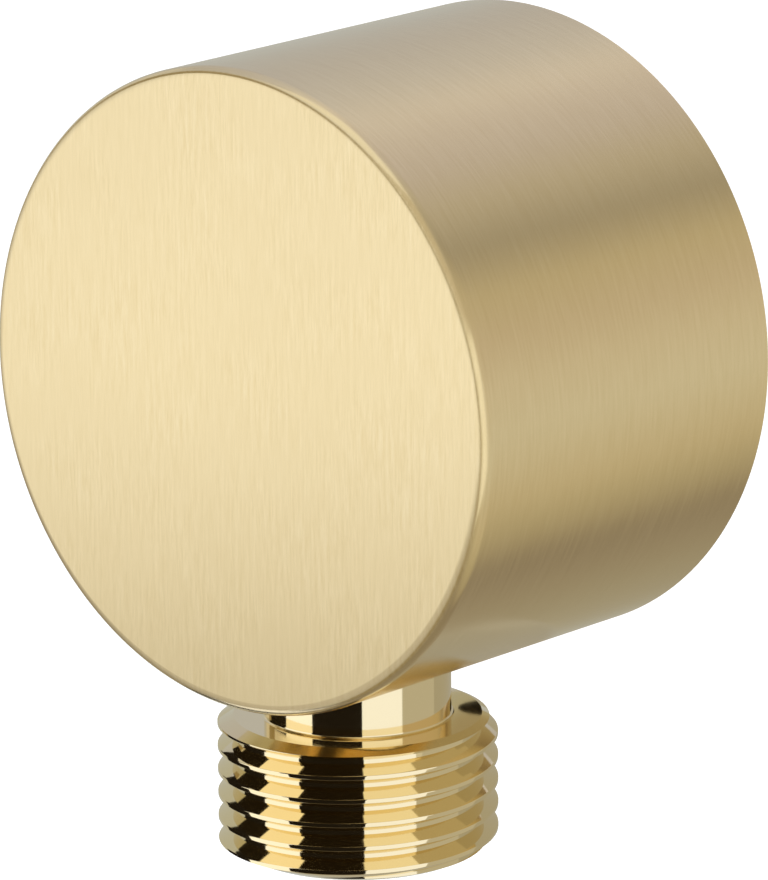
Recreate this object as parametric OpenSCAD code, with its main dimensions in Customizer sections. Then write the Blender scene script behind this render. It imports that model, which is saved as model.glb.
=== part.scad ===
// Round wall outlet elbow for a hand shower.
// A turned brass body slips over a connector that is screwed into the wall,
// a grub screw from below holds it there, and the hose screws onto a polished
// nipple under the body. Axes: +Y into the wall, +Z up, origin on the inlet
// axis in the plane of the wall. Depths along the inlet are counted from the
// wall towards the room, and depths along the outlet down from the inlet axis.

/* [Body] */
// Diameter of the round body
body_d = 48; // [46:0.5:70]
// Depth of the body from the wall to its front face
body_depth = 32.4; // [28:0.1:45]
// Radius of the rounded front edge
front_round = 0.9; // [0.3:0.1:3]
// Chamfer on the back edge
back_chamfer = 0.4; // [0.2:0.1:1.5]

/* [Outlet nipple] */
// Distance of the outlet axis from the wall
outlet_pos = 19.1; // [18:0.1:24]
// Diameter of the polished neck
neck_d = 14; // [13.6:0.2:17]
// Neck left in view between the body and the threaded head
neck_gap = 3; // [2:0.1:8]
// Depth to which the neck is let into the body
neck_depth = 4.5; // [4.2:0.1:6]
// Length of the threaded head that takes the hose
head_len = 10.4; // [8:0.2:16]
// Water bore through the nipple
nipple_bore = 8.5; // [7:0.25:9]
// Size across flats of the hex socket in the nipple's mouth
nipple_hex = 10; // [9:0.5:12]
// Depth of the nipple's hex socket
nipple_hex_depth = 7; // [5:0.5:10]
// Thread diameter of the nipple's screwed end
nipple_screw_d = 12; // [11.5:0.25:12.5]
// Length of the nipple's screwed end
nipple_screw_len = 7; // [5:0.5:7.5]

/* [Pipe thread] */
// Crest diameter of the half inch parallel pipe thread
pipe_d = 20.955; // [20:0.005:23]
// Pitch of the pipe thread
pipe_pitch = 1.814; // [1.3:0.001:2.4]

/* [Wall connector] */
// Diameter of the spigot that the body slips over
spigot_d = 20; // [19:0.1:22]
// Length of the threaded tail inside the wall
tail_len = 13; // [10:0.5:20]
// Size across flats of the hex socket in the connector
connector_hex = 12; // [10:0.5:12]

/* [Seals] */
// Wire thickness of the connector's sealing rings
spigot_ring_wire = 1.78; // [1.5:0.01:1.85]
// Wire thickness of the nipple's sealing ring
neck_ring_wire = 1.5; // [1:0.05:1.6]
// Wire thickness of the check valve's sealing ring
valve_ring_wire = 1.3; // [1:0.05:1.6]
// Width of the flat gasket behind the body
gasket_w = 5; // [2:0.25:7]
// Thickness of the flat gasket behind the body
gasket_t = 1.6; // [0.8:0.1:2]
// Distance of the gasket from the body's edge
gasket_inset = 2; // [1.5:0.25:5]

/* [Grub screw] */
// Diameter of the grub screw under the body
screw_d = 4; // [3:0.25:5]
// Length of the grub screw
screw_len = 6; // [5:0.5:10]
// Distance of the grub screw from the wall
screw_pos = 4.5; // [4.2:0.1:4.8]
// Size across flats of the grub screw's hex socket
screw_hex = 2; // [1.5:0.1:2.2]

/* [Check valve] */
// Outer diameter of the check valve cartridge
valve_d = 14; // [13.9:0.05:14.2]
// Diameter of the valve's inlet opening
valve_inlet_d = 7.6; // [6:0.2:8]
// Depth of the valve's seat piece up to its seat face
seat_depth = 4; // [3.5:0.1:5]
// Way that the poppet opens
poppet_lift = 2.6; // [1.5:0.1:3.4]
// Length of the valve spring when the valve is fully open
spring_open_len = 4; // [3.6:0.1:5]
// Diameter of the poppet's sealing disc
poppet_d = 9.6; // [9.2:0.1:9.8]
// Diameter of the poppet's stem
stem_d = 2.4; // [2:0.1:2.6]
// Wire thickness of the valve spring
spring_wire = 0.5; // [0.3:0.05:0.55]

/* [Hidden] */
$fn = 96;

// Colours
SATIN_BRASS = [0.82, 0.75, 0.56];
POLISHED_BRASS = [0.88, 0.76, 0.45];
RAW_BRASS = [0.80, 0.68, 0.38];
RUBBER = [0.08, 0.08, 0.08];
STEEL = [0.72, 0.72, 0.74];
WHITE_PLASTIC = [0.90, 0.90, 0.87];
GREY_PLASTIC = [0.45, 0.47, 0.50];

// Clearances between pieces
slip = 0.1;
snug = 0.05;
touch = 0.02;
overcut = 1;

// Whitworth thread form: flank angle, and the flats on crest and root per pitch
flank = 27.5;
crest_share = 1 / 6;
root_share = 1 / 6;
// Length of a thread's end chamfer per depth of it
chamfer_slope = 0.6;
// A fine metric thread for the nipple's upper end
fine_pitch = 1;

// Body and inlet
body_r = body_d / 2;
spigot_r = spigot_d / 2;
bore_r = spigot_r + slip;
tip_gap = 0.2;
port_r = nipple_bore / 2;
port_wall = 0.25;
bore_depth = outlet_pos - port_r - port_wall;
spigot_len = bore_depth - tip_gap;
chamber_r = 6;
chamber_past = 1.75;
chamber_end = outlet_pos + port_r + chamber_past;
mouth_chamfer = 1;

// Relief that keeps the sealing rings off the screw hole's edge
relief_step = 0.6;
relief_past = 0.1;
relief_r = bore_r + relief_step;
relief_end = screw_pos + screw_d / 2 + relief_past;

// Gasket recess
gasket_r = body_r - gasket_inset;

// Sealing rings sit in grooves and are pressed to this share of their wire
squeeze = 0.85;
groove_share = 1.35;
tip_land = 0.9;
ring_land = 0.7;
spigot_groove_w = spigot_ring_wire * groove_share;
spigot_groove_r = bore_r - spigot_ring_wire * squeeze;
front_ring_pos = spigot_len - tip_land - spigot_groove_w / 2;
rear_ring_pos = front_ring_pos - spigot_groove_w - ring_land;

// Connector
lock_depth = 0.9;
lock_flat = 1.2;
shank_len = 1.5;
undercut_len = 2;
undercut_depth = 1.1;
tail_land = 0.8;
tail_start_chamfer = 0.5;
tail_chamfer = 1.1;
tip_chamfer = 0.6;

// Outlet nipple, in depths below the inlet axis
neck_r = neck_d / 2;
shoulder = body_r - neck_depth;
screw_top = shoulder - nipple_screw_len;
tap_runout = 0.8;
tapped_top = screw_top - tap_runout;
head_top = body_r + neck_gap;
head_end = head_top + head_len;
head_land = 1.25;
head_chamfer = 0.75;
end_chamfer = 2.2;
mouth_margin = 0.25;
mouth_r = nipple_hex / 2 / cos(30) + mouth_margin;
mouth_bevel = 0.6;
neck_socket_r = neck_r + snug;
neck_groove_w = neck_ring_wire * groove_share;
neck_groove_r = neck_socket_r - neck_ring_wire * squeeze;
neck_ring_land = 0.6;
neck_ring_pos = shoulder + neck_ring_land + neck_groove_w / 2;
bore_bevel = 0.4;

// Grub screw, in depths below the inlet axis
screw_r = screw_d / 2;
screw_hole_r = screw_r + snug;
lock_r = spigot_r - lock_depth;
screw_tip_r = 0.5;
screw_tip = lock_r + slip;
screw_end = screw_tip + screw_len;
screw_hex_depth = 2.2;
screw_bevel = 0.3;

// Check valve, in depths counted from the wall
valve_r = valve_d / 2;
valve_bore_r = valve_r + slip;
nib_w = 0.5;
nib_h = 0.4;
seal_t = 1;
head_t = 0.9;
spider_t = 3;
cage_len = nib_h + touch + seal_t + head_t + poppet_lift + spring_open_len + spider_t;
valve_end = spigot_len - tip_gap;
valve_start = valve_end - cage_len - seat_depth;
seat_face = valve_start + seat_depth;
cage_wall = 0.8;
skirt_wall = 0.6;
skirt_len = 1.8;
cage_r = valve_r - cage_wall;
valve_groove_w = valve_ring_wire * groove_share;
valve_groove_r = valve_bore_r - valve_ring_wire * squeeze;
valve_ring_land = 1;
valve_ring_pos = valve_start + valve_ring_land + valve_groove_w / 2;
poppet_r = poppet_d / 2;
disc_inset = 0.2;
stem_r = stem_d / 2;
seal_face = seat_face + nib_h + touch;
neck_boss_r = 2.6;
nose_lip = 0.35;
nose_len = 0.6;
head_back = seal_face + seal_t + head_t;
spider_face = valve_end - spider_t;
spoke_w = 1;
spokes = 4;
hub_wall = 0.85;
hub_r = stem_r + slip + hub_wall;
hub_proud = 1.2;
hub_face = spider_face - hub_proud;
stem_recess = 1;
stem_end = valve_end - stem_recess;
spring_r = hub_r + slip + spring_wire;
spring_start = head_back + touch + spring_wire / 2;
spring_end = spider_face - touch - spring_wire / 2;
spring_turns = 5.5;
spring_steps = 16;
spring_sides = 8;
closed_pitch = spring_wire * 1.04;

// Turns a profile, drawn as radius and depth, about the inlet axis
module about_inlet() {
    rotate([90, 0, 0])
        rotate_extrude()
            children();
}

// Turns a profile, drawn as radius and depth, about the outlet axis
module about_outlet() {
    translate([0, -outlet_pos, 0])
        rotate([180, 0, 0])
            rotate_extrude()
                children();
}

// A plain step of a turned piece: from one radius out to another, between two depths
module step(r0, r1, d0, d1) {
    translate([r0, d0])
        square([r1 - r0, d1 - d0]);
}

// A ring's round section, between a groove's floor and the wall that it seals on
module ring_section(floor_r, wall_r, depth) {
    translate([(floor_r + wall_r) / 2, depth])
        circle(r = (wall_r - floor_r) / 2 - touch);
}

function thread_depth(pitch) =
    pitch * (1 - crest_share - root_share) / 2 / tan(flank);

// The four corners of one thread groove, centred at a depth
function groove_points(r, pitch, depth) =
    let (root = pitch * root_share / 2)
    let (top = pitch * (1 - crest_share) / 2)
    let (floor_r = r - thread_depth(pitch))
    [[r, depth - top], [floor_r, depth - root], [floor_r, depth + root], [r, depth + top]];

// Outline of a threaded stretch with a chamfer at both ends and a plain land before its first groove
module thread_outline(r, d0, d1, pitch, land, chamfer0, chamfer1) {
    first = d0 + land + pitch / 2;
    count = max(1, floor((d1 - first - pitch * root_share / 2) / pitch) + 1);
    grooves = [for (i = [0 : count - 1]) each groove_points(r, pitch, first + i * pitch)];
    last = grooves[len(grooves) - 1];
    intersection() {
        polygon(concat([[0, d0], [r, d0]], grooves, [[r, max(d1, last[1]) + overcut], [0, d1 + overcut]]));
        polygon([
            [0, d0],
            [r - chamfer0, d0],
            [r, d0 + chamfer0],
            [r, d1 - chamfer1 * chamfer_slope],
            [r - chamfer1, d1],
            [0, d1]
        ]);
    }
}

// Solid round body with its rounded front edge, before it is bored
module body_blank() {
    about_inlet()
        difference() {
            union() {
                square([body_r - front_round, body_depth]);
                square([body_r, body_depth - front_round]);
                translate([body_r - front_round, body_depth - front_round])
                    circle(r = front_round);
            }
            polygon([
                [body_r - back_chamfer, 0],
                [body_r + overcut, -overcut],
                [body_r + overcut, back_chamfer + overcut],
                [body_r, back_chamfer]
            ]);
        }
}

// Stepped bore for the connector, and the water chamber beyond it
module inlet_bore() {
    about_inlet() {
        step(0, relief_r, -overcut, relief_end);
        step(0, bore_r, -overcut, bore_depth);
        step(0, chamber_r, 0, chamber_end);
        polygon([
            [0, -overcut],
            [relief_r + mouth_chamfer + overcut, -overcut],
            [relief_r, mouth_chamfer],
            [0, mouth_chamfer]
        ]);
        polygon([
            [0, relief_end],
            [relief_r, relief_end],
            [bore_r, relief_end + relief_step],
            [0, relief_end + relief_step]
        ]);
    }
}

// Socket for the neck, tapped hole and water port under the chamber
module outlet_bore() {
    about_outlet() {
        step(0, neck_socket_r, shoulder, body_r + overcut);
        step(0, nipple_screw_d / 2 + snug, tapped_top, body_r);
        step(0, port_r, 0, body_r);
    }
}

// Hole for the grub screw, open under the body
module screw_hole() {
    translate([0, -screw_pos, -body_r - overcut])
        cylinder(r = screw_hole_r, h = body_r + overcut - spigot_r);
}

// Flat recess that holds the gasket
module gasket_recess() {
    about_inlet()
        step(gasket_r - gasket_w, gasket_r, -overcut, gasket_t);
}

module body() {
    color(SATIN_BRASS)
        difference() {
            body_blank();
            inlet_bore();
            outlet_bore();
            screw_hole();
            gasket_recess();
        }
}

module wall_gasket() {
    color(RUBBER)
        about_inlet()
            step(gasket_r - gasket_w + snug, gasket_r - snug, 0, gasket_t);
}

// Grub screw with a cone point that bites into the connector's locking groove
module grub_screw() {
    color(STEEL)
        translate([0, -screw_pos, 0])
            rotate([180, 0, 0])
                difference() {
                    rotate_extrude()
                        polygon([
                            [0, screw_tip],
                            [screw_tip_r, screw_tip],
                            [screw_r, screw_tip + screw_r - screw_tip_r],
                            [screw_r, screw_end - screw_bevel],
                            [screw_r - screw_bevel, screw_end],
                            [0, screw_end]
                        ]);
                    translate([0, 0, screw_end - screw_hex_depth])
                        cylinder(d = screw_hex / cos(30), h = screw_hex_depth + overcut, $fn = 6);
                }
}

// Outline of the connector's outside, from the tip to the end of the tail
module connector_outline() {
    difference() {
        union() {
            step(0, spigot_r, -shank_len, spigot_len);
            step(0, spigot_r - undercut_depth, -shank_len - undercut_len, 0);
            mirror([0, 1])
                thread_outline(
                    pipe_d / 2, shank_len + undercut_len, tail_len, pipe_pitch,
                    tail_land, tail_start_chamfer, tail_chamfer
                );
        }
        // Lead-in at the tip
        polygon([
            [spigot_r - tip_chamfer, spigot_len],
            [spigot_r, spigot_len - tip_chamfer],
            [spigot_r + overcut, spigot_len - tip_chamfer],
            [spigot_r + overcut, spigot_len + overcut],
            [spigot_r - tip_chamfer, spigot_len + overcut]
        ]);
        // Grooves for the two sealing rings
        for (pos = [front_ring_pos, rear_ring_pos])
            step(spigot_groove_r, spigot_r + overcut, pos - spigot_groove_w / 2, pos + spigot_groove_w / 2);
        // Locking groove for the grub screw
        polygon([
            [lock_r, screw_pos - lock_flat / 2],
            [spigot_r, screw_pos - lock_flat / 2 - lock_depth],
            [spigot_r + overcut, screw_pos - lock_flat / 2 - lock_depth],
            [spigot_r + overcut, screw_pos + lock_flat / 2 + lock_depth],
            [spigot_r, screw_pos + lock_flat / 2 + lock_depth],
            [lock_r, screw_pos + lock_flat / 2]
        ]);
    }
}

// Connector between the pipe in the wall and the body, with the check valve's bore in its tip
module wall_connector() {
    color(RAW_BRASS)
        difference() {
            about_inlet()
                connector_outline();
            about_inlet()
                step(0, valve_bore_r, valve_start, spigot_len + overcut);
            rotate([90, 0, 0])
                translate([0, 0, -tail_len - overcut])
                    cylinder(d = connector_hex / cos(30), h = tail_len + overcut + valve_start + overcut, $fn = 6);
        }
}

module connector_o_ring(pos) {
    color(RUBBER)
        about_inlet()
            ring_section(spigot_groove_r, bore_r, pos);
}

module connector_o_ring_front() {
    connector_o_ring(front_ring_pos);
}

module connector_o_ring_rear() {
    connector_o_ring(rear_ring_pos);
}

// Outline of the nipple's outside: screwed end, neck with its ring groove, threaded head
module nipple_outline() {
    difference() {
        union() {
            thread_outline(
                nipple_screw_d / 2, screw_top, shoulder, fine_pitch,
                0, thread_depth(fine_pitch), thread_depth(fine_pitch)
            );
            step(0, neck_r, shoulder, head_top);
            thread_outline(pipe_d / 2, head_top, head_end, pipe_pitch, head_land, head_chamfer, end_chamfer);
        }
        step(neck_groove_r, neck_r + overcut, neck_ring_pos - neck_groove_w / 2, neck_ring_pos + neck_groove_w / 2);
    }
}

// Water bore with a bevel at the top, and the bevelled mouth around the hex socket
module nipple_bore_outline() {
    step(0, port_r, screw_top - overcut, head_end);
    polygon([
        [0, screw_top - overcut],
        [port_r + bore_bevel + overcut, screw_top - overcut],
        [port_r, screw_top + bore_bevel],
        [0, screw_top + bore_bevel]
    ]);
    polygon([
        [0, head_end - mouth_bevel],
        [mouth_r - mouth_bevel, head_end - mouth_bevel],
        [mouth_r + overcut, head_end + overcut],
        [0, head_end + overcut]
    ]);
}

// Polished nipple: the hose screws onto its head, and a hex key from below tightens it
module outlet_nipple() {
    color(POLISHED_BRASS)
        difference() {
            about_outlet()
                nipple_outline();
            about_outlet()
                nipple_bore_outline();
            translate([0, -outlet_pos, -head_end - overcut])
                cylinder(d = nipple_hex / cos(30), h = nipple_hex_depth + overcut, $fn = 6);
        }
}

module nipple_o_ring() {
    color(RUBBER)
        about_outlet()
            ring_section(neck_groove_r, neck_socket_r, neck_ring_pos);
}

// Inlet end of the check valve: seat with a raised nib, and a skirt that the cage slides over
module valve_seat() {
    color(GREY_PLASTIC)
        about_inlet()
            difference() {
                union() {
                    step(0, valve_r, valve_start, seat_face);
                    step(0, valve_inlet_d / 2 + nib_w, seat_face, seat_face + nib_h);
                    step(cage_r - snug - skirt_wall, cage_r - snug, seat_face, seat_face + skirt_len);
                }
                step(0, valve_inlet_d / 2, valve_start - overcut, seat_face + overcut);
                step(
                    valve_groove_r, valve_r + overcut,
                    valve_ring_pos - valve_groove_w / 2, valve_ring_pos + valve_groove_w / 2
                );
            }
}

module valve_o_ring() {
    color(RUBBER)
        about_inlet()
            ring_section(valve_groove_r, valve_bore_r, valve_ring_pos);
}

// Outlet end of the check valve: sleeve, and a spoked hub that guides the stem
module valve_cage() {
    color(WHITE_PLASTIC)
        difference() {
            union() {
                about_inlet()
                    step(cage_r, valve_r, seat_face, valve_end);
                about_inlet()
                    step(0, hub_r, hub_face, valve_end);
                for (i = [0 : spokes - 1])
                    rotate([0, i * 360 / spokes, 0])
                        translate([0, -valve_end, -spoke_w / 2])
                            cube([cage_r + cage_wall / 2, spider_t, spoke_w]);
            }
            about_inlet()
                step(0, stem_r + slip, hub_face - overcut, valve_end + overcut);
        }
}

// Mushroom poppet: nose that the seal snaps over, disc and guided stem
module valve_poppet() {
    color(WHITE_PLASTIC)
        about_inlet() {
            step(0, neck_boss_r + nose_lip, seal_face - nose_len, seal_face - touch);
            step(0, neck_boss_r, seal_face - nose_len, head_back);
            step(0, poppet_r - disc_inset, head_back - head_t, head_back);
            step(0, stem_r, seal_face, stem_end);
        }
}

module poppet_seal() {
    color(RUBBER)
        about_inlet()
            step(neck_boss_r + touch, poppet_r, seal_face, seal_face + seal_t - touch);
}

// Depth reached by the spring after a number of turns: closed turns at both ends, open ones between
function spring_depth(turn) =
    let (open_pitch = (spring_end - spring_start - 2 * closed_pitch) / (spring_turns - 2))
    turn < 1 ? spring_start + turn * closed_pitch
    : turn < spring_turns - 1 ? spring_start + closed_pitch + (turn - 1) * open_pitch
    : spring_end - (spring_turns - turn) * closed_pitch;

// One ring of points around the spring's wire
function spring_ring(turn) = [
    for (k = [0 : spring_sides - 1])
        let (a = k * 360 / spring_sides)
        let (r = spring_r + spring_wire / 2 * cos(a))
        [r * cos(turn * 360), r * sin(turn * 360), spring_depth(turn) + spring_wire / 2 * sin(a)]
];

module valve_spring() {
    rings = spring_turns * spring_steps;
    points = [for (i = [0 : rings]) each spring_ring(i / spring_steps)];
    sides = [
        for (i = [0 : rings - 1])
            for (k = [0 : spring_sides - 1])
                let (n = (k + 1) % spring_sides)
                let (a = i * spring_sides)
                let (b = a + spring_sides)
                [a + k, b + k, b + n, a + n]
    ];
    first_cap = [for (k = [0 : spring_sides - 1]) k];
    last_cap = [for (k = [spring_sides - 1 : -1 : 0]) rings * spring_sides + k];
    color(STEEL)
        rotate([90, 0, 0])
            polyhedron(points, concat(sides, [first_cap, last_cap]));
}

body();
wall_gasket();
grub_screw();
wall_connector();
connector_o_ring_front();
connector_o_ring_rear();
outlet_nipple();
nipple_o_ring();
valve_seat();
valve_o_ring();
valve_cage();
valve_poppet();
poppet_seal();
valve_spring();
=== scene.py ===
import math

import bpy
from mathutils import Matrix, Quaternion, Vector

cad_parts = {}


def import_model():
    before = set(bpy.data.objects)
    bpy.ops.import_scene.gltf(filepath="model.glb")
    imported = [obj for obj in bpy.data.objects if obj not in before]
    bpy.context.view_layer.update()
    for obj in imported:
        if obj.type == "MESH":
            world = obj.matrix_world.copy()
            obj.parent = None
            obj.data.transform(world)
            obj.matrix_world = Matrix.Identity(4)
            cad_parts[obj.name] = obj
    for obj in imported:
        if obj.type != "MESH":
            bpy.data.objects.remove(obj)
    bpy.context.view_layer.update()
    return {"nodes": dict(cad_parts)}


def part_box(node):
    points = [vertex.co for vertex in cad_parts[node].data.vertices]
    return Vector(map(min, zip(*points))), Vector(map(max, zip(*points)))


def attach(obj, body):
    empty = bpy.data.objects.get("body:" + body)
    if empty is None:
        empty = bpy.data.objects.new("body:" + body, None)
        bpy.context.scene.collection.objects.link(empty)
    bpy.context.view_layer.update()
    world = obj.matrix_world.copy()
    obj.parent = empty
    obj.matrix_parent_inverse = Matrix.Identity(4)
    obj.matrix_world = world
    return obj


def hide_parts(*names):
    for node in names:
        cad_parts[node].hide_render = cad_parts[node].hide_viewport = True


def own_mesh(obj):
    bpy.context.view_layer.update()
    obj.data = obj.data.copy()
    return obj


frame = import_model()

# Lengths below are in millimetres and turned into metres where meshes are made.
MM = 0.001

# The photograph's height and focal length in pixels
PHOTO_H, FOCAL_PX = 880, 7408
# The camera's sensor and place, and the way it looks from, with its roll, in degrees
SENSOR = 36
CAMERA_AT = (351.35, -415.26, 132.22)
CAMERA_AZIMUTH, CAMERA_ELEVATION, CAMERA_ROLL = 41.34, 14.637, -0.44

# Corners of the boxes round the CAD pieces
body_low, body_high = (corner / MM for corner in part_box("body"))
nipple_low, nipple_high = (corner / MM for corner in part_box("outlet_nipple"))
connector_low, connector_high = (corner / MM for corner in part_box("wall_connector"))
screw_low, screw_high = (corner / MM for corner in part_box("grub_screw"))
valve_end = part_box("valve_seat")[1].y / MM


def middle(node, axis):
    """Where the middle of a CAD piece lies along one axis."""
    low_corner, high_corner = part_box(node)
    return (low_corner[axis] + high_corner[axis]) / 2 / MM


BODY_R = (body_high.x - body_low.x) / 2
FRONT = -body_low.y
OUTLET_AXIS = Vector((0, (nipple_low.y + nipple_high.y) / 2, 0))
PIPE_R = (nipple_high.x - nipple_low.x) / 2
HEAD_END = -nipple_low.z
SCREW_TOP = -nipple_high.z
SPIGOT_END = -connector_low.y
TAIL_END = connector_high.y
GRUB_AXIS = Vector((0, (screw_low.y + screw_high.y) / 2, 0))
GRUB_R = (screw_high.x - screw_low.x) / 2

# Thread forms: flank angle, and the flats on crest and root per pitch
PIPE_FORM = (math.radians(27.5), 1 / 6, 1 / 6)
METRIC_FORM = (math.radians(30), 1 / 8, 1 / 4)
PIPE_PITCH = 1.814
FINE_PITCH = 1
GRUB_PITCH = 0.7
# Rounding at the corners of a crest, and what trims a thread clears its crests by
CREST_ROUND, CREST_STEPS = 0.09, 4
OVER_CREST = 0.01
# Turns that a thread is made longer by at each end before it is trimmed
SPARE_TURNS = 2

# Sizes of the nipple that the boxes don't give
NECK_R = 7
NECK_FILLET, FILLET_STEPS = 0.2, 6
HEAD_TOP = BODY_R + 3
# Depth and length of the chamfers at the head's top and end
HEAD_CHAMFER = (1.2, 0.42)
HEAD_END_CHAMFER = (1.9, 0.85)
# How far below the inlet's axis a crest of the head's thread faces the camera
HEAD_CREST = 28.97
# The shoulder between the neck and the screwed end, as far below it
SHOULDER = 19.5
NIPPLE_SCREW_R = 6
NIPPLE_BORE_R = 4.25
NIPPLE_HEX = 10
NIPPLE_HEX_DEPTH = 7
MOUTH_R = 6.02
MOUTH_BEVEL = 0.6
BORE_BEVEL = 0.4
NECK_GROOVE_W = 2.025
NECK_GROOVE_R = 5.775

# Sizes of the body: its edges, the stepped bore for the connector, and what opens below
FRONT_ROUND, ROUND_STEPS = 0.9, 12
BACK_CHAMFER = 0.4
MOUTH_CHAMFER = 1
RELIEF_STEP, RELIEF_END = 0.6, 6.6
TIP_GAP = 0.2
CHAMBER_R, CHAMBER_PAST = 6, 1.75
TAP_RUNOUT = 0.8
RECESS_W = 5
# Clearances of what slides in a bore and of what sits in one
SLIP, SNUG = 0.1, 0.05

# Sizes of the wall connector
SPIGOT_R = 10
TIP_CHAMFER = 0.6
RING_GROOVE_W = 2.403
RING_GROOVE_R = 8.587
LOCK_R, LOCK_FLAT = 9.1, 1.2
SHANK_END, UNDERCUT_END, UNDERCUT_R = 1.5, 3.5, 8.9
TAIL_START_CHAMFER, TAIL_CHAMFER = (0.5, 0.5), (1.1, 0.66)
VALVE_BORE_R = 7.1
CONNECTOR_HEX = 12

# Sizes of the grub screw
GRUB_POINT_R = 0.5
GRUB_BEVEL = 0.3
GRUB_HEX, GRUB_HEX_DEPTH = 2, 2.2

# Steps round a turned piece
TURNS_BODY, TURNS_FINE, TURNS_SMALL = 512, 256, 96
# How far a tool reaches past what it cuts
PAST = 1
# Width of the narrow ring beside a rounded edge that keeps a flat face flat in its shading
RIM = 0.05
# Largest angle in degrees between faces that are shaded as one. The nipple's flats keep their edges.
SMOOTH, SMOOTH_NIPPLE, SMOOTH_SPRING = 30, 17, 50


def mesh_object(name, points, faces):
    """A mesh object from points in millimetres."""
    mesh = bpy.data.meshes.new(name)
    mesh.from_pydata([tuple(c * MM for c in p) for p in points], [], faces)
    mesh.update()
    made = bpy.data.objects.new(name, mesh)
    bpy.context.scene.collection.objects.link(made)
    return made


def lathe(name, outline, steps=TURNS_FINE):
    """A solid turned about Z. Its outline, as (radius, height), starts and ends on the axis."""
    points, faces = [(0, 0, outline[0][1])], []
    rings = outline[1:-1]
    for radius, height in rings:
        for i in range(steps):
            angle = 2 * math.pi * i / steps
            points.append((radius * math.cos(angle), radius * math.sin(angle), height))
    points.append((0, 0, outline[-1][1]))
    last = len(points) - 1
    for i in range(steps):
        j = (i + 1) % steps
        faces.append((0, 1 + j, 1 + i))
        for k in range(len(rings) - 1):
            a, b = 1 + k * steps, 1 + (k + 1) * steps
            faces.append((a + i, a + j, b + j, b + i))
        faces.append((last, last - steps + i, last - steps + j))
    return mesh_object(name, points, faces)


def rod(name, radius, low, high, steps=TURNS_FINE):
    """A plain round bar about Z."""
    return lathe(name, [(0, low), (radius, low), (radius, high), (0, high)], steps)


def quarter_round(corner_r, corner_height, across, along, steps):
    """The points of a quarter round that replaces a corner of an outline, from the flat to the side."""
    turns = [math.pi / 2 * k / steps for k in range(steps + 1)]
    return [
        (corner_r + across * (1 - math.sin(turn)), corner_height + along * (1 - math.cos(turn)))
        for turn in turns
    ]


def ring_groove(place, width, outer_r, inner_r):
    """The points of a square groove for a sealing ring, from below."""
    low, high = place - width / 2, place + width / 2
    return [(outer_r, low), (inner_r, low), (inner_r, high), (outer_r, high)]


def thread_depth(pitch, form):
    flank, crest_share, root_share = form
    return pitch * (1 - crest_share - root_share) / 2 / math.tan(flank)


def thread_ridge(radius, pitch, form):
    """One ridge of a thread from root to root, as (offset along the axis, radius)."""
    flank, crest_share, root_share = form
    root_r = radius - thread_depth(pitch, form)
    crest_half, root_half = pitch * crest_share / 2, pitch * root_share / 2
    turn = math.pi / 2 - flank
    centre_along = crest_half - CREST_ROUND * math.tan(turn / 2)
    arc = []
    for k in range(CREST_STEPS + 1):
        angle = turn * k / CREST_STEPS
        arc.append((
            centre_along + CREST_ROUND * math.sin(angle),
            radius - CREST_ROUND * (1 - math.cos(angle)),
        ))
    rising = [(-pitch / 2 + root_half, root_r)] + [(-along, r) for along, r in reversed(arc)]
    falling = arc + [(pitch / 2 - root_half, root_r)]
    return rising + falling


def helix(name, radius, pitch, form, low, high, crest, steps):
    """A right-handed thread about Z, too long at both ends. Crest is the height of a crest at angle 0."""
    ridge = thread_ridge(radius, pitch, form)
    per_turn = len(ridge)
    first = math.floor((low - crest) / pitch) - SPARE_TURNS
    turns = math.ceil((high - low) / pitch) + 2 * SPARE_TURNS + 1
    rows = [(crest + (first + n) * pitch + along, r) for n in range(turns) for along, r in ridge]
    points, faces = [], []
    for height, r in rows:
        for i in range(steps):
            angle = 2 * math.pi * i / steps
            points.append((r * math.cos(angle), r * math.sin(angle), height + pitch * i / steps))
    for k in range(len(rows) - 1):
        a, b = k * steps, (k + 1) * steps
        for i in range(steps - 1):
            faces.append((a + i, a + i + 1, b + i + 1, b + i))
        if k + 1 + per_turn < len(rows):
            c, d = (k + per_turn) * steps, (k + 1 + per_turn) * steps
            faces.append((a + steps - 1, c, d, b + steps - 1))
    bottom, top = len(points), len(points) + 1
    points += [(0, 0, rows[0][0]), (0, 0, rows[-1][0] + pitch)]
    last = len(rows) - 1
    start = list(range(steps)) + [k * steps for k in range(per_turn, 0, -1)]
    end = [last * steps + i for i in range(steps)]
    end += [(last - k) * steps + steps - 1 for k in range(1, per_turn + 1)]
    for p, q in zip(start, start[1:] + start[:1]):
        faces.append((bottom, q, p))
    for p, q in zip(end, end[1:] + end[:1]):
        faces.append((top, p, q))
    return mesh_object(name, points, faces)


def combine(target, tool, operation):
    """Joins, cuts or intersects two closed solids and keeps the result in target."""
    modifier = target.modifiers.new(operation, "BOOLEAN")
    modifier.operation = operation
    modifier.solver = "MANIFOLD"
    modifier.object = tool
    depsgraph = bpy.context.evaluated_depsgraph_get()
    mesh = bpy.data.meshes.new_from_object(target.evaluated_get(depsgraph))
    target.modifiers.clear()
    target.data = mesh
    bpy.data.objects.remove(tool)
    return target


def hex_bar(across_flats, low, high):
    """A six-sided bar about Z with two corners on X."""
    corner_r = across_flats / 2 / math.cos(math.pi / 6)
    return rod("hex_tool", corner_r, low, high, steps=6)


def finish_piece(piece, material, nodes, body="fitting", smooth=SMOOTH):
    """Gives a finished piece its shading, material, slot and body, and hides the nodes it replaces."""
    piece.data.polygons.foreach_set("use_smooth", [True] * len(piece.data.polygons))
    piece.data.set_sharp_from_angle(angle=math.radians(smooth))
    piece.data.materials.clear()
    piece.data.materials.append(material)
    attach(piece, body)
    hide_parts(*nodes)


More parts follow.
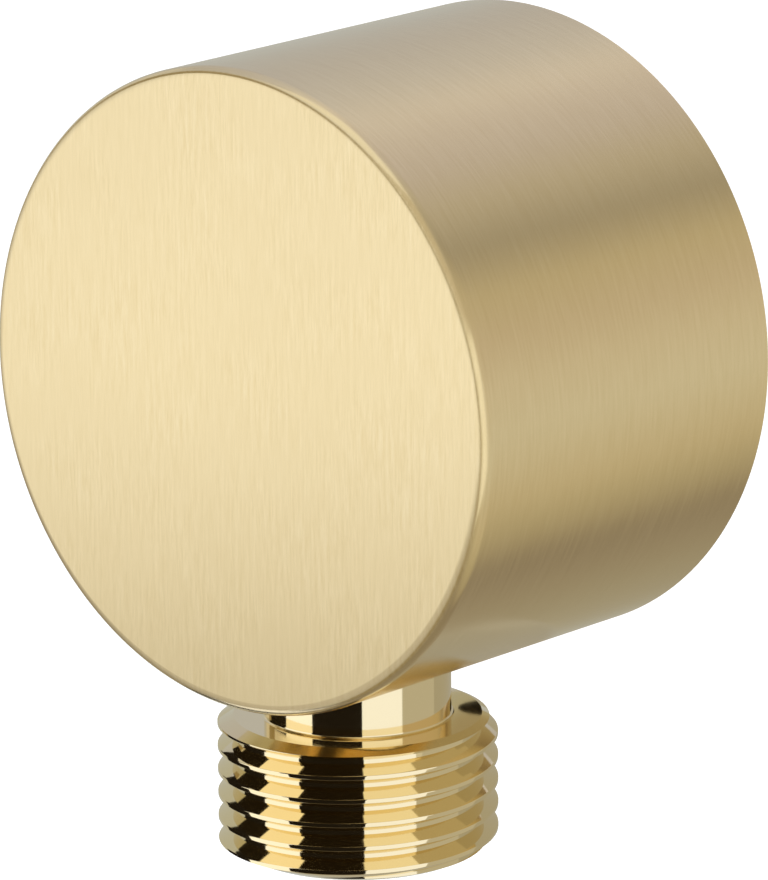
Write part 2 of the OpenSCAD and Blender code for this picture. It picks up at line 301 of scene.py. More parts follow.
def threaded_end(
    name, radius, pitch, form, low, high, chamfers, crest, facing=0, steps=TURNS_FINE, seat=0,
):
    """A helical thread about Z, trimmed to two heights and by a chamfer at each, given as (depth, length).

    A crest passes the angle of facing at the height of crest. Seat is the radius of an edge in the
    upper end face that keeps the face flat in its shading.
    """
    thread = helix(name, radius, pitch, form, low, high, crest, steps)
    thread.data.transform(Matrix.Rotation(facing, 4, "Z"))
    clear = radius + OVER_CREST
    (low_depth, low_length), (high_depth, high_length) = chamfers
    envelope = lathe("thread_outline", [
        (0, low),
        (radius - low_depth, low),
        (clear, low + low_length),
        (clear, high - high_length),
        (radius - high_depth, high),
        *([(seat, high)] if seat else []),
        (0, high),
    ], steps)
    return combine(thread, envelope, "INTERSECT")


def lay_along_inlet(piece):
    """Turns a piece that was made about Z so that its upper end points into the wall."""
    piece.data.transform(Matrix.Rotation(-math.pi / 2, 4, "X"))


def gasket_recess():
    """What the ring-shaped recess in the back face takes away, about Z with the wall side up."""
    gasket_low, gasket_high = (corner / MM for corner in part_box("wall_gasket"))
    outer, floor_at = gasket_high.x + SNUG, gasket_low.y
    recess = rod("recess", outer, floor_at, PAST)
    island = rod("island", outer - RECESS_W, floor_at - PAST, 2 * PAST)
    return combine(recess, island, "DIFFERENCE")


def inlet_bore():
    """What the connector's bore and the water chamber take away, about Z with the wall side up."""
    bore_r, relief_r = SPIGOT_R + SLIP, SPIGOT_R + SLIP + RELIEF_STEP
    bore_end = -SPIGOT_END - TIP_GAP
    chamber_end = OUTLET_AXIS.y - NIPPLE_BORE_R - CHAMBER_PAST
    return lathe("inlet_bore", [
        (0, chamber_end),
        (CHAMBER_R, chamber_end),
        (CHAMBER_R, bore_end),
        (bore_r, bore_end),
        (bore_r, -RELIEF_END - RELIEF_STEP),
        (relief_r, -RELIEF_END),
        (relief_r, -MOUTH_CHAMFER),
        (relief_r + MOUTH_CHAMFER + PAST, PAST),
        (0, PAST),
    ])


def outlet_bore():
    """What the nipple's socket, the tapped hole and the water port take away."""
    tapped_top = TAP_RUNOUT - SCREW_TOP
    bore = lathe("outlet_bore", [
        (0, -BODY_R - PAST),
        (NECK_R + SNUG, -BODY_R - PAST),
        (NECK_R + SNUG, -SHOULDER),
        (NIPPLE_SCREW_R + SNUG, -SHOULDER),
        (NIPPLE_SCREW_R + SNUG, tapped_top),
        (NIPPLE_BORE_R, tapped_top),
        (NIPPLE_BORE_R, 0),
        (0, 0),
    ])
    bore.data.transform(Matrix.Translation(OUTLET_AXIS * MM))
    return bore


def grub_hole():
    """What the grub screw's hole under the body takes away."""
    hole = rod("grub_hole", GRUB_R + SNUG, -BODY_R - PAST, -SPIGOT_R, TURNS_SMALL)
    hole.data.transform(Matrix.Translation(GRUB_AXIS * MM))
    return hole


def make_body(material):
    """The turned body, made about Z with the wall side up, then laid along the inlet and opened below."""
    body = lathe("turned_body", [
        (0, -FRONT),
        (BODY_R - FRONT_ROUND - RIM, -FRONT),
        *quarter_round(BODY_R, -FRONT, -FRONT_ROUND, FRONT_ROUND, ROUND_STEPS),
        (BODY_R, -FRONT + FRONT_ROUND + RIM),
        (BODY_R, -BACK_CHAMFER),
        (BODY_R - BACK_CHAMFER, 0),
        (0, 0),
    ], TURNS_BODY)
    combine(body, inlet_bore(), "DIFFERENCE")
    combine(body, gasket_recess(), "DIFFERENCE")
    lay_along_inlet(body)
    combine(body, outlet_bore(), "DIFFERENCE")
    combine(body, grub_hole(), "DIFFERENCE")
    finish_piece(body, material, ["body"])


def make_nipple(material):
    """The outlet nipple: threaded head, neck, screwed end, bore and hex socket."""
    nipple = threaded_end(
        "nipple", PIPE_R, PIPE_PITCH, PIPE_FORM, -HEAD_END, -HEAD_TOP,
        (HEAD_END_CHAMFER, HEAD_CHAMFER), -HEAD_CREST, math.radians(CAMERA_AZIMUTH - 90),
        seat=NECK_R + NECK_FILLET + RIM,
    )
    neck = lathe("neck", [
        (0, -HEAD_TOP - PAST),
        (NECK_R + NECK_FILLET, -HEAD_TOP - PAST),
        *quarter_round(NECK_R, -HEAD_TOP, NECK_FILLET, NECK_FILLET, FILLET_STEPS),
        (NECK_R, -HEAD_TOP + NECK_FILLET + RIM),
        *ring_groove(middle("nipple_o_ring", 2), NECK_GROOVE_W, NECK_R, NECK_GROOVE_R),
        (NECK_R, -SHOULDER),
        (0, -SHOULDER),
    ])
    combine(nipple, neck, "UNION")
    depth = thread_depth(FINE_PITCH, METRIC_FORM)
    screwed = threaded_end(
        "screwed_end", NIPPLE_SCREW_R, FINE_PITCH, METRIC_FORM, -SHOULDER, -SCREW_TOP,
        ((depth, depth), (depth, depth)), -SHOULDER, steps=TURNS_SMALL,
    )
    core = rod("core", NIPPLE_SCREW_R - depth, -SHOULDER - PAST, -SCREW_TOP)
    combine(nipple, combine(screwed, core, "UNION"), "UNION")
    bore = lathe("bore", [
        (0, -HEAD_END - PAST),
        (MOUTH_R + PAST, -HEAD_END - PAST),
        (MOUTH_R - MOUTH_BEVEL, -HEAD_END + MOUTH_BEVEL),
        (NIPPLE_BORE_R, -HEAD_END + MOUTH_BEVEL),
        (NIPPLE_BORE_R, -SCREW_TOP - BORE_BEVEL),
        (NIPPLE_BORE_R + BORE_BEVEL + PAST, -SCREW_TOP + PAST),
        (0, -SCREW_TOP + PAST),
    ])
    combine(nipple, bore, "DIFFERENCE")
    combine(nipple, hex_bar(NIPPLE_HEX, -HEAD_END - PAST, -HEAD_END + NIPPLE_HEX_DEPTH), "DIFFERENCE")
    nipple.data.transform(Matrix.Translation(OUTLET_AXIS * MM))
    finish_piece(nipple, material, ["outlet_nipple"], smooth=SMOOTH_NIPPLE)


def make_connector(material):
    """The wall connector, made about Z with the wall side up, then laid along the inlet."""
    connector = threaded_end(
        "connector", PIPE_R, PIPE_PITCH, PIPE_FORM, UNDERCUT_END, TAIL_END,
        (TAIL_START_CHAMFER, TAIL_CHAMFER), TAIL_END,
    )
    lock_depth = SPIGOT_R - LOCK_R
    spigot = lathe("spigot", [
        (0, -SPIGOT_END),
        (SPIGOT_R - TIP_CHAMFER, -SPIGOT_END),
        (SPIGOT_R, -SPIGOT_END + TIP_CHAMFER),
        *ring_groove(middle("connector_o_ring_front", 1), RING_GROOVE_W, SPIGOT_R, RING_GROOVE_R),
        *ring_groove(middle("connector_o_ring_rear", 1), RING_GROOVE_W, SPIGOT_R, RING_GROOVE_R),
        (SPIGOT_R, GRUB_AXIS.y - LOCK_FLAT / 2 - lock_depth),
        (LOCK_R, GRUB_AXIS.y - LOCK_FLAT / 2),
        (LOCK_R, GRUB_AXIS.y + LOCK_FLAT / 2),
        (SPIGOT_R, GRUB_AXIS.y + LOCK_FLAT / 2 + lock_depth),
        (SPIGOT_R, SHANK_END),
        (UNDERCUT_R, SHANK_END),
        (UNDERCUT_R, UNDERCUT_END + PAST),
        (0, UNDERCUT_END + PAST),
    ])
    combine(connector, spigot, "UNION")
    combine(connector, rod("valve_bore", VALVE_BORE_R, -SPIGOT_END - PAST, valve_end), "DIFFERENCE")
    combine(connector, hex_bar(CONNECTOR_HEX, valve_end - PAST, TAIL_END + PAST), "DIFFERENCE")
    lay_along_inlet(connector)
    finish_piece(connector, material, ["wall_connector"])


def make_grub_screw(material):
    """The grub screw, with its hex socket below and its cone point above."""
    top, end = screw_high.z, screw_low.z
    cone = GRUB_R - GRUB_POINT_R
    screw = threaded_end(
        "grub_screw_threaded", GRUB_R, GRUB_PITCH, METRIC_FORM, end, top,
        ((GRUB_BEVEL, GRUB_BEVEL), (cone, cone)), end, steps=TURNS_SMALL,
    )
    combine(screw, hex_bar(GRUB_HEX, end - PAST, end + GRUB_HEX_DEPTH), "DIFFERENCE")
    screw.data.transform(Matrix.Translation(GRUB_AXIS * MM))
    finish_piece(screw, material, ["grub_screw"])


def make_spring(material):
    """The closing spring, in its CAD node's form. It keeps one length here, though the real spring
    shortens towards the cage as the poppet opens.
    """
    spring = bpy.data.objects.new("closing_spring", frame["nodes"]["valve_spring"].data.copy())
    bpy.context.scene.collection.objects.link(spring)
    finish_piece(spring, material, ["valve_spring"], smooth=SMOOTH_SPRING)
    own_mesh(spring)


# Materials

# The range in which most of a noise lies
NOISE_LOW, NOISE_HIGH = 0.3, 0.7


def add(tree, kind, inputs=None, **settings):
    """Adds one shader node. A value in inputs is a number, a colour or another node's output."""
    made = tree.nodes.new(kind)
    for name, value in settings.items():
        setattr(made, name, value)
    for name, value in (inputs or {}).items():
        socket = made.inputs[name]
        if isinstance(value, bpy.types.NodeSocket):
            tree.links.new(value, socket)
        else:
            socket.default_value = value
    return made


def feed(tree, node, inputs):
    """Links the outputs of other nodes to a node's inputs."""
    for name, value in inputs.items():
        tree.links.new(value, node.inputs[name])


def math_node(tree, operation, a, b=0.0, clamp=False):
    return add(tree, "ShaderNodeMath", {0: a, 1: b}, operation=operation, use_clamp=clamp).outputs[0]


def principled(name, metallic=0.0):
    """A new material with its node tree and its one shader."""
    made = bpy.data.materials.new(name)
    made.use_nodes = True
    tree = made.node_tree
    shader = tree.nodes["Principled BSDF"]
    shader.inputs["Metallic"].default_value = metallic
    return made, tree, shader


def object_place(tree):
    return add(tree, "ShaderNodeTexCoord").outputs["Object"]


def noise(tree, place, scale, detail=3.0):
    """Soft noise. Scale is the number of its patches in a metre."""
    inputs = {"Vector": place, "Scale": scale, "Detail": detail}
    return add(tree, "ShaderNodeTexNoise", inputs).outputs["Fac"]


def grain(tree, place, scale, start):
    """Streaky noise: a large scale across the streaks and a small one along them."""
    stretched = add(tree, "ShaderNodeMapping", {"Vector": place, "Scale": scale, "Location": start})
    return add(tree, "ShaderNodeTexNoise", {
        "Vector": stretched.outputs[0], "Scale": 1.0, "Detail": 4.0, "Roughness": 0.65,
    }).outputs["Fac"]


# A Mix node has inputs and an output of its own for numbers, for vectors and for colours.


def mix_number(tree, share, a, b):
    return add(tree, "ShaderNodeMix", {0: share, 2: a, 3: b}, data_type="FLOAT").outputs[0]


def mix_vector(tree, share, a, b):
    return add(tree, "ShaderNodeMix", {0: share, 4: a, 5: b}, data_type="VECTOR").outputs[1]


def mix_colour(tree, share, a, b):
    return add(tree, "ShaderNodeMix", {0: share, 6: a, 7: b}, data_type="RGBA").outputs[2]


def span(tree, value, a, b, low, high):
    """Maps value from a..b to low..high."""
    return add(tree, "ShaderNodeMapRange", {
        "Value": value, "From Min": a, "From Max": b, "To Min": low, "To Max": high,
    }).outputs[0]


def spread(tree, texture, low, high):
    """Maps the range in which most of a noise lies to low..high."""
    return span(tree, texture, NOISE_LOW, NOISE_HIGH, low, high)


def bump(tree, shader, height, strength, distance):
    inputs = {"Height": height, "Strength": strength, "Distance": distance * MM}
    feed(tree, shader, {"Normal": add(tree, "ShaderNodeBump", inputs).outputs[0]})


def turned_place(tree, place, axis, centre=(0, 0, 0)):
    """The radius round an axis, the way along it, and both together as coordinates for turning marks."""
    centre = tuple(c * MM for c in centre)
    moved = add(tree, "ShaderNodeVectorMath", {0: place, 1: centre}, operation="SUBTRACT")
    parts = add(tree, "ShaderNodeSeparateXYZ", {0: moved.outputs[0]})
    across = [parts.outputs[name] for name in "XYZ" if name != axis]
    squares = [math_node(tree, "MULTIPLY", part, part) for part in across]
    radius = math_node(tree, "SQRT", math_node(tree, "ADD", *squares))
    turned = add(tree, "ShaderNodeCombineXYZ", {"X": radius, "Y": parts.outputs[axis]})
    return radius, parts.outputs[axis], turned.outputs[0]


# Tones between which each kind of brass varies
SATIN_PALE, SATIN_DEEP = (0.93, 0.80, 0.52, 1), (0.785, 0.645, 0.37, 1)
RAW_PALE, RAW_DEEP = (0.83, 0.70, 0.41, 1), (0.74, 0.60, 0.32, 1)
POLISHED_PALE, POLISHED_DEEP = (0.90, 0.76, 0.46, 1), (0.88, 0.74, 0.44, 1)

# Streaks of the brushing, coarse and fine: their scale along X, Y and Z, and where the noise is read
FACE_COARSE, FACE_FINE = ((3000, 0, 260), (3, 0, 1)), ((9000, 0, 800), (7, 0, 5))
SIDE_COARSE, SIDE_FINE = ((300, 3800, 300), (0, 5, 2)), ((70, 8000, 70), (0, 3, 6))
FACE_FINE_SHARE, SIDE_FINE_SHARE = 0.35, 0.4
# Tones of the streaks from their darkest to their palest, where 0 is deep and 1 is pale
FACE_TONES, SIDE_TONES = (-0.05, 1.05), (0.22, 0.78)
# How much of the normal points along Y where the face's grain starts and where it is alone
FACE_STARTS, FACE_ALONE = 0.6, 0.8
# How far in from the side and the front the brushed outside reaches
SKIN_SIDE, SKIN_FRONT = 0.8, 0.5


def satin_brass():
    """Brushed outside, with upright grain on the face and grain round the side, and plain turned bores."""
    made, tree, shader = principled("satin_brass_brushed", metallic=1.0)
    where = add(tree, "ShaderNodeTexCoord")
    place, normal = where.outputs["Object"], where.outputs["Normal"]
    facing = math_node(tree, "ABSOLUTE", add(tree, "ShaderNodeSeparateXYZ", {0: normal}).outputs["Y"])
    on_face = span(tree, facing, FACE_STARTS, FACE_ALONE, 0.0, 1.0)

    coarse, fine = grain(tree, place, *FACE_COARSE), grain(tree, place, *FACE_FINE)
    face_grain = mix_number(tree, FACE_FINE_SHARE, coarse, fine)
    # In patches the face's grain is fainter.
    faint = span(tree, noise(tree, place, 150.0), 0.4, 0.6, 0.0, 0.6)
    face_grain = mix_number(tree, faint, face_grain, 0.5)
    coarse, fine = grain(tree, place, *SIDE_COARSE), grain(tree, place, *SIDE_FINE)
    side_grain = mix_number(tree, SIDE_FINE_SHARE, coarse, fine)
    lines = mix_number(tree, on_face, side_grain, face_grain)

    radius, depth, turned = turned_place(tree, place, "Y")
    turning = grain(tree, turned, (6000, 6000, 0), (1, 4, 0))
    inner = math_node(tree, "LESS_THAN", radius, (BODY_R - SKIN_SIDE) * MM)
    behind = math_node(tree, "GREATER_THAN", depth, (SKIN_FRONT - FRONT) * MM)
    bored = math_node(tree, "MULTIPLY", inner, behind)
    marks = mix_number(tree, bored, lines, turning)

    least, most = (mix_number(tree, on_face, side, face) for side, face in zip(SIDE_TONES, FACE_TONES))
    outside = mix_colour(tree, spread(tree, lines, least, most), SATIN_DEEP, SATIN_PALE)
    inside = mix_colour(tree, spread(tree, turning, 0.0, 1.0), RAW_DEEP, RAW_PALE)
    broad = noise(tree, place, 45.0)
    rough = math_node(tree, "ADD", spread(tree, marks, 0.19, 0.25), spread(tree, broad, -0.015, 0.015))
    feed(tree, shader, {
        "Base Color": mix_colour(tree, bored, outside, inside),
        "Roughness": rough,
        "Tangent": mix_vector(tree, on_face, (0, 1, 0), (1, 0, 0)),
    })
    shader.inputs["Anisotropic"].default_value = 0.85
    bump(tree, shader, marks, strength=0.35, distance=0.004)
    return made


def polished_brass():
    """Mirror finish with the faint marks of polishing on a lathe."""
    made, tree, shader = principled("polished_brass_turned", metallic=1.0)
    place = object_place(tree)
    marks = grain(tree, turned_place(tree, place, "Z", OUTLET_AXIS)[2], (5200, 5200, 0), (0, 7, 0))
    broad = noise(tree, place, 160.0)
    rough = math_node(tree, "ADD", spread(tree, broad, 0.04, 0.07), spread(tree, marks, 0.0, 0.02))
    feed(tree, shader, {
        "Base Color": mix_colour(tree, broad, POLISHED_DEEP, POLISHED_PALE),
        "Roughness": rough,
    })
    bump(tree, shader, marks, strength=0.15, distance=0.002)
    return made


def raw_brass():
    """Plain turned brass: fine tool marks round the inlet axis, and a slight tarnish."""
    made, tree, shader = principled("raw_brass_turned", metallic=1.0)
    place = object_place(tree)
    marks = grain(tree, turned_place(tree, place, "Y")[2], (5000, 5000, 0), (2, 0, 0))
    tarnish = noise(tree, place, 220.0, detail=5.0)
    clean = span(tree, tarnish, 0.35, 0.65, 0.0, 1.0)
    rough = math_node(tree, "ADD", spread(tree, tarnish, 0.30, 0.24), spread(tree, marks, 0.0, 0.05))
    feed(tree, shader, {
        "Base Color": mix_colour(tree, clean, RAW_DEEP, RAW_PALE),
        "Roughness": rough,
    })
    bump(tree, shader, marks, strength=0.4, distance=0.006)
    return made


def stainless_steel():
    """Plain steel with fine marks across Z."""
    made, tree, shader = principled("stainless_steel_plain", metallic=1.0)
    place = object_place(tree)
    marks = grain(tree, place, (900, 900, 6000), (0, 1, 3))
    tone = noise(tree, place, 400.0)
    feed(tree, shader, {
        "Base Color": mix_colour(tree, tone, (0.56, 0.56, 0.57, 1), (0.66, 0.65, 0.64, 1)),
        "Roughness": spread(tree, marks, 0.20, 0.32),
    })
    bump(tree, shader, marks, strength=0.3, distance=0.003)
    return made


def rubber():
    """Matt black rubber with a fine moulded skin and a little bloom."""
    made, tree, shader = principled("rubber_moulded")
    place = object_place(tree)
    skin = noise(tree, place, 5200.0, detail=2.0)
    bloom = noise(tree, place, 260.0, detail=4.0)
    feed(tree, shader, {
        "Base Color": mix_colour(tree, bloom, (0.018, 0.018, 0.019, 1), (0.05, 0.049, 0.047, 1)),
        "Roughness": spread(tree, bloom, 0.48, 0.66),
    })
    bump(tree, shader, skin, strength=0.35, distance=0.012)
    return made


def moulded_plastic(name, dark, light):
    """Moulded plastic with a fine spark-eroded texture."""
    made, tree, shader = principled(name)
    place = object_place(tree)
    texture = noise(tree, place, 3600.0, detail=2.0)
    tone = noise(tree, place, 300.0)
    feed(tree, shader, {
        "Base Color": mix_colour(tree, tone, dark, light),
        "Roughness": spread(tree, tone, 0.36, 0.46),
    })
    bump(tree, shader, texture, strength=0.25, distance=0.010)
    return made


# Stage


def direction(azimuth, elevation):
    """The way to an azimuth, counted from -Y towards +X, and an elevation, both in degrees."""
    azimuth, elevation = math.radians(azimuth), math.radians(elevation)
    return Vector((
        math.sin(azimuth) * math.cos(elevation),
        -math.cos(azimuth) * math.cos(elevation),
        math.sin(elevation),
    ))


def camera():
    """The camera of the photograph, rolled a little about its line of sight."""
    data = bpy.data.cameras.new("camera")
    data.sensor_width = SENSOR
    data.lens = SENSOR * FOCAL_PX / PHOTO_H
    data.clip_start, data.clip_end = 0.01, 20
    made = bpy.data.objects.new("camera", data)
    bpy.context.scene.collection.objects.link(made)
    made.location = Vector(CAMERA_AT) * MM
    made.rotation_mode = "QUATERNION"
    level = (-direction(CAMERA_AZIMUTH, CAMERA_ELEVATION)).to_track_quat("-Z", "Y")
    made.rotation_quaternion = level @ Quaternion((0, 0, 1), math.radians(CAMERA_ROLL))
    bpy.context.scene.camera = made


# Strength of the white room as it lights matt things, and as it is seen, mirrored or looked through
ROOM_LIGHT, ROOM_SEEN = 0.6, 1.0


def world():
    """A white room."""
    made = bpy.data.worlds.new("studio")
    made.use_nodes = True
    tree = made.node_tree
    background = tree.nodes["Background"]
    path = add(tree, "ShaderNodeLightPath")
    seen = math_node(tree, "ADD", path.outputs["Is Camera Ray"], path.outputs["Is Glossy Ray"])
    seen = math_node(tree, "ADD", seen, path.outputs["Is Transmission Ray"], clamp=True)
    feed(tree, background, {"Strength": mix_number(tree, seen, ROOM_LIGHT, ROOM_SEEN)})
    background.inputs["Color"].default_value = (1, 1, 1, 1)
    bpy.context.scene.world = made


def only_reflected(card):
    """The card shows in the metal and nowhere else."""
    card.visible_camera = False
    card.visible_diffuse = False
    card.visible_shadow = False
    card.visible_volume_scatter = False


def glow(name, colour, strength=1.0):
    """A material that only gives light."""
    made = bpy.data.materials.new(name)
    made.use_nodes = True
    tree = made.node_tree
    tree.nodes.clear()
    light = add(tree, "ShaderNodeEmission", {"Color": (*colour, 1), "Strength": strength})
    feed(tree, add(tree, "ShaderNodeOutputMaterial"), {"Surface": light.outputs[0]})
    return made, tree, light


def clear_from_behind(tree, shader):
    """Lets a surface with this shader show from its front side alone."""
    behind = add(tree, "ShaderNodeNewGeometry").outputs["Backfacing"]
    clear = add(tree, "ShaderNodeBsdfTransparent")
    mixed = add(tree, "ShaderNodeMixShader", {0: behind, 1: shader.outputs[0], 2: clear.outputs[0]})
    feed(tree, tree.nodes["Material Output"], {"Surface": mixed.outputs[0]})


def inner_glow(name, colour):
    """Light from the inner side of a card. From outside the card can't be seen."""
    made, tree, light = glow(name, colour)
    clear_from_behind(tree, light)
    return made


def strips(name, rows, steps):
    """A sheet through rows of points of one length each."""
    faces = []
    for k in range(len(rows) - 1):
        a, b = k * steps, (k + 1) * steps
        faces += [(a + i, a + i + 1, b + i + 1, b + i) for i in range(steps - 1)]
    sheet = mesh_object(name, [point for row in rows for point in row], faces)
    only_reflected(sheet)
    return sheet


def curved_card(name, rows, steps=24):
    """A card round the outlet's axis. Each row is (height, distance, left azimuth, right azimuth)."""
    lines = []
    for height, distance, left, right in rows:
        ways = [direction(left + (right - left) * i / steps, 0) for i in range(steps + 1)]
        lines.append([OUTLET_AXIS + distance * way + Vector((0, 0, height)) for way in ways])
    return strips(name, lines, steps + 1)


# Light of the dark cards, of the light's dim border and of the table
BLACK, DIM, TABLE = (0.012, 0.009, 0.006), (0.33, 0.275, 0.165), (0.30, 0.26, 0.20)

# Rings about the way in which the face mirrors the camera: angles of the inner and the outer edge from
# that way, distance, colour, and where the ring starts and ends, counted round that way from its right
RING_CARDS = {
    "front_light_border": (49.5, 63.5, 250, DIM, 0, 360),
    "edge_light_right": (68, 110, 260, (1.02, 0.99, 0.90), -28, 14),
    "edge_light_between": (68, 110, 260, (0.62, 0.56, 0.45), 14, 56),
    "edge_light_top": (68, 110, 260, (0.95, 0.93, 0.88), 56, 96),
}


def ring_card(name, inner, outer, distance, colour, first, last, steps=96):
    """A ring, or an arc of it, that shows in the body's rounded edge."""
    turn = direction(-CAMERA_AZIMUTH, -CAMERA_ELEVATION).to_track_quat("Z", "Y")
    centre = Vector((0, -FRONT, 0))
    spins = [math.radians(first + (last - first) * i / steps) for i in range(steps + 1)]
    rows = []
    for angle in (inner, outer):
        tilted = Quaternion((0, 1, 0), math.radians(angle)) @ Vector((0, 0, 1))
        ways = [turn @ (Quaternion((0, 0, 1), spin) @ tilted) for spin in spins]
        rows.append([centre + distance * way for way in ways])
    strips(name, rows, steps + 1).data.materials.append(glow(name, colour)[0])


# Rows of the cards near the nipple: height, distance, and the radius of the metal that the row shows in.
# In front they lean in under the body, where the head's top shows them by way of the neck.
THREAD_MEAN_R = 10
FRONT_ROWS = [
    (-24.3, 13, NECK_R),
    (-26.8, 13, NECK_R),
    (-29.4, 16.5, NECK_R),
    (-30, 17, THREAD_MEAN_R),
    (-50, 17, THREAD_MEAN_R),
]
BACK_ROWS = [
    (-25.5, 17, NECK_R),
    (-30.5, 17, NECK_R),
    (-31.5, 17, THREAD_MEAN_R),
    (-50, 17, THREAD_MEAN_R),
]
# The azimuths between which each of these cards shows, its colour and its rows
NEAR_CARDS = {
    "near_front_flag": (-16, 47, BLACK, FRONT_ROWS),
    "near_left_flag": (-92, -57, BLACK, FRONT_ROWS),
    "near_front_light": (-57, -16, (1.2, 1.22, 1.3), FRONT_ROWS),
    "near_right_light": (47, 98, (1.07, 1.12, 1.27), FRONT_ROWS),
    "near_right_side": (98, 150, (0.52, 0.50, 0.44), BACK_ROWS),
    "near_back_side": (150, 221, (0.42, 0.40, 0.34), BACK_ROWS),
    "near_left_side": (-139, -92, (0.50, 0.51, 0.47), BACK_ROWS),
}


def near_azimuth(far, radius, distance):
    """Where a near card has to end so that the metal of a radius mirrors it up to a far azimuth."""
    turn = math.radians(CAMERA_AZIMUTH - far) / 2
    return far + math.degrees(math.asin(radius / distance * math.sin(turn)))


def near_card(name, left, right, colour, rows):
    """A small card close round the nipple, seen only in the nipple: the face looks over it."""
    curved_card(name, [
        (height, distance, near_azimuth(left, radius, distance), near_azimuth(right, radius, distance))
        for height, distance, radius in rows
    ]).data.materials.append(inner_glow(name, colour))


def set_stops(ramp, stops):
    """Gives a colour ramp its stops, as (position, colour)."""
    elements = ramp.color_ramp.elements
    while len(elements) < len(stops):
        elements.new(0.5)
    for element, (position, colour) in zip(elements, stops):
        element.position = position
        element.color = (*colour, 1)


# The studio's sweep in front: its heights, azimuths and distance, and its light by height
SWEEP_LOW, SWEEP_HIGH = -700, 230
SWEEP_LEFT, SWEEP_RIGHT, SWEEP_DISTANCE = -110, 16, 320
SWEEP_PEAK = 1.2
SWEEP_LIGHT = [
    (-700, (0.51, 0.485, 0.45)),
    (-139, (0.61, 0.578, 0.53)),
    (-112, (0.762, 0.737, 0.685)),
    (-104, (0.894, 0.869, 0.826)),
    (-95, (0.952, 0.930, 0.891)),
    (-85, (1.050, 1.032, 0.995)),
    (-76, (1.097, 1.078, 1.040)),
    (-66, (1.090, 1.072, 1.034)),
    (-47, (1.061, 1.043, 1.010)),
    (230, (1.052, 1.033, 1.000)),
]
# Towards its left end the sweep fades between these places along Y, down to a share of its light
SWEEP_FULL_Y, SWEEP_FADED_Y, SWEEP_FADED = -235, -110, 0.64


def sweep():
    """A wide curved sheet in front, darker towards the table and towards its left end."""
    card = curved_card("sweep", [
        (height, SWEEP_DISTANCE, SWEEP_LEFT, SWEEP_RIGHT) for height in (SWEEP_LOW, SWEEP_HIGH)
    ])
    made, tree, light = glow("sweep", (1, 1, 1), SWEEP_PEAK)
    place = add(tree, "ShaderNodeSeparateXYZ", {0: object_place(tree)})
    height_share = span(tree, place.outputs["Z"], SWEEP_LOW * MM, SWEEP_HIGH * MM, 0.0, 1.0)
    ramp = add(tree, "ShaderNodeValToRGB", {"Fac": height_share})
    set_stops(ramp, [
        ((z - SWEEP_LOW) / (SWEEP_HIGH - SWEEP_LOW), [level / SWEEP_PEAK for level in colour])
        for z, colour in SWEEP_LIGHT
    ])
    full, faded = SWEEP_FULL_Y * MM, SWEEP_FADED_Y * MM
    strength = span(tree, place.outputs["Y"], full, faded, SWEEP_PEAK, SWEEP_PEAK * SWEEP_FADED)
    feed(tree, light, {"Color": ramp.outputs["Color"], "Strength": strength})
    card.data.materials.append(made)


# Light that comes from behind, by the angle round the inlet axis, counted from +X towards +Z
BACK_LIGHT = [
    (-180, (0.493, 0.545, 0.572)),
    (-138, (0.530, 0.551, 0.531)),
    (-122, (0.443, 0.418, 0.335)),
    (-98, (0.391, 0.359, 0.282)),
    (-82, (0.345, 0.303, 0.241)),
    (-66, (0.277, 0.239, 0.197)),
    (-60, (0.428, 0.379, 0.276)),
    (-50, (0.512, 0.462, 0.334)),
    (-42, (0.596, 0.531, 0.400)),
    (-18, (0.667, 0.640, 0.565)),
    (-2, (0.646, 0.599, 0.517)),
    (14, (0.582, 0.516, 0.429)),
    (30, (0.540, 0.482, 0.365)),
    (46, (0.370, 0.340, 0.290)),
    (62, (0.509, 0.473, 0.424)),
    (78, (0.566, 0.531, 0.585)),
    (94, (0.639, 0.602, 0.660)),
    (102, (0.728, 0.697, 0.744)),
    (118, (0.599, 0.598, 0.680)),
    (142, (0.517, 0.514, 0.576)),
    (158, (0.513, 0.526, 0.581)),
    (180, (0.537, 0.589, 0.619)),
]


def back_light():
    """Light that is shaded by the angle round the inlet axis."""
    made, tree, light = glow("back_light", (1, 1, 1))
    place = add(tree, "ShaderNodeSeparateXYZ", {0: object_place(tree)})
    flat = add(tree, "ShaderNodeCombineXYZ", {"X": place.outputs["X"], "Y": place.outputs["Z"]})
    turn = add(tree, "ShaderNodeTexGradient", {"Vector": flat.outputs[0]}, gradient_type="RADIAL")
    ramp = add(tree, "ShaderNodeValToRGB", {"Fac": turn.outputs["Fac"]})
    set_stops(ramp, [(angle / 360 + 0.5, colour) for angle, colour in BACK_LIGHT])
    feed(tree, light, {"Color": ramp.outputs["Color"]})
    return made


# Radius of the dome and of the panel behind, and the steps round each
ROOM_R, ROOM_STEPS = 1500, 48


def back_panel(light):
    """A wide panel behind the fitting."""
    away = 350
    points = [(0, away, 0)]
    faces = []
    for i in range(ROOM_STEPS):
        angle = 2 * math.pi * i / ROOM_STEPS
        points.append((ROOM_R * math.cos(angle), away, ROOM_R * math.sin(angle)))
        faces.append((0, 1 + i, 1 + (i + 1) % ROOM_STEPS))
    panel = mesh_object("back_panel", points, faces)
    panel.data.materials.append(light)
    only_reflected(panel)


def dome(light):
    """The rest of the room, with a dim table below."""
    lowest, rows = -66, 24
    heights = [math.radians(lowest + (90 - lowest) * k / rows) for k in range(rows)]
    around = [(ROOM_R * math.sin(height), ROOM_R * math.cos(height), -180, 180) for height in heights]
    curved_card("dome", around, ROOM_STEPS).data.materials.append(light)
    table_z, table_r, _, _ = around[0]
    table = [(table_z, reach, -180, 180) for reach in (1, table_r)]
    curved_card("table", table, ROOM_STEPS).data.materials.append(glow("table", TABLE)[0])


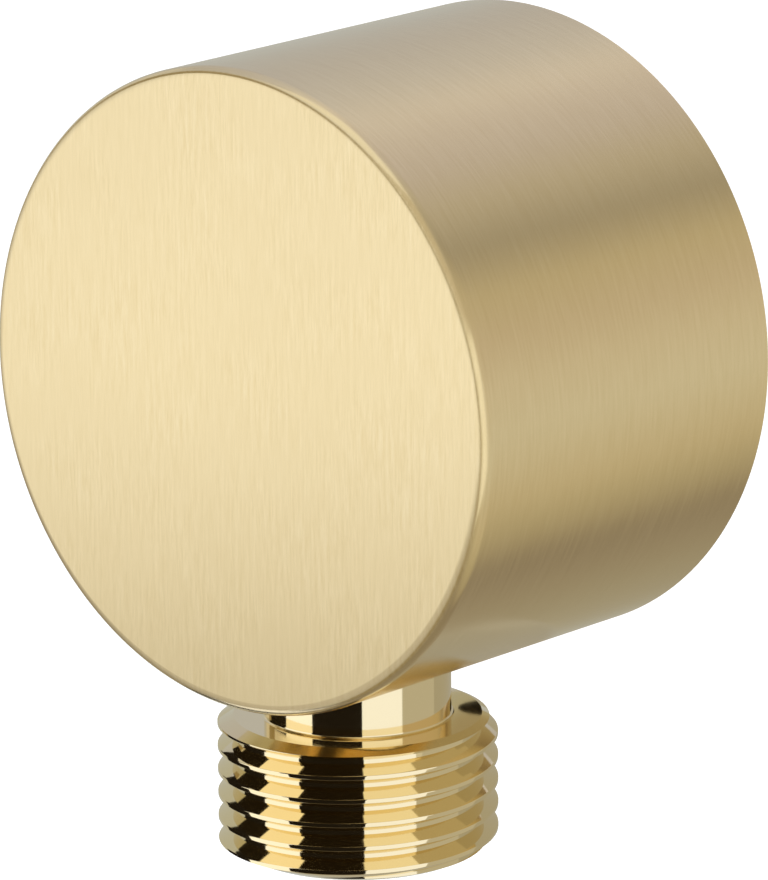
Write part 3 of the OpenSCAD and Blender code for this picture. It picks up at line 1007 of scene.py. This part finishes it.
def floor():
    """A pale floor that takes the shadow. The metal doesn't mirror it, and from below it is clear."""
    size, level = 3000, -150
    made = mesh_object("floor", [
        (-size, -size, level), (size, -size, level), (size, size, level), (-size, size, level),
    ], [(0, 1, 2, 3)])
    paint, tree, shader = principled("pale_floor")
    tone = noise(tree, object_place(tree), 3.0, detail=2.0)
    seen = add(tree, "ShaderNodeLightPath").outputs["Is Camera Ray"]
    feed(tree, shader, {
        "Base Color": mix_colour(tree, tone, (0.82, 0.82, 0.82, 1), (0.86, 0.86, 0.86, 1)),
        "Emission Strength": math_node(tree, "MULTIPLY", seen, 0.5),
    })
    shader.inputs["Emission Color"].default_value = (1, 1, 1, 1)
    shader.inputs["Roughness"].default_value = 0.6
    clear_from_behind(tree, shader)
    made.data.materials.append(paint)
    made.visible_glossy = False


# Place, size and power of the key lamp, in metres and watts
KEY_AT, KEY_SIZE, KEY_POWER = (-0.6, -0.9, 1.2), 0.8, 14


def lamp(name, place, size, power):
    """A round lamp that points at the fitting and isn't mirrored."""
    data = bpy.data.lights.new(name, "AREA")
    data.shape = "DISK"
    data.size = size
    data.energy = power
    made = bpy.data.objects.new(name, data)
    bpy.context.scene.collection.objects.link(made)
    made.location = place
    made.rotation_mode = "QUATERNION"
    made.rotation_quaternion = (-Vector(place)).to_track_quat("-Z", "Y")
    made.visible_glossy = False


# The scene

camera()
world()
floor()
lamp("key", KEY_AT, KEY_SIZE, KEY_POWER)
room_light = back_light()
back_panel(room_light)
dome(room_light)
sweep()
for name, sizes in RING_CARDS.items():
    ring_card(name, *sizes)
for name, sizes in NEAR_CARDS.items():
    near_card(name, *sizes)

brushed, polished, turned_brass = satin_brass(), polished_brass(), raw_brass()
steel, seal_rubber = stainless_steel(), rubber()
grey_plastic = moulded_plastic("grey_plastic_moulded", (0.27, 0.29, 0.32, 1), (0.33, 0.35, 0.38, 1))
white_plastic = moulded_plastic("white_plastic_moulded", (0.76, 0.76, 0.72, 1), (0.84, 0.84, 0.81, 1))

make_body(brushed)
make_nipple(polished)
make_connector(turned_brass)
make_grub_screw(steel)
make_spring(steel)
# CAD pieces that are shown as they are
DRESSED = {
    "wall_gasket": seal_rubber,
    "connector_o_ring_front": seal_rubber,
    "connector_o_ring_rear": seal_rubber,
    "nipple_o_ring": seal_rubber,
    "valve_o_ring": seal_rubber,
    "poppet_seal": seal_rubber,
    "valve_seat": grey_plastic,
    "valve_cage": white_plastic,
    "valve_poppet": white_plastic,
}
for node, material in DRESSED.items():
    frame["nodes"][node].material_slots[0].material = material

bpy.context.scene.view_settings.view_transform = "Standard"
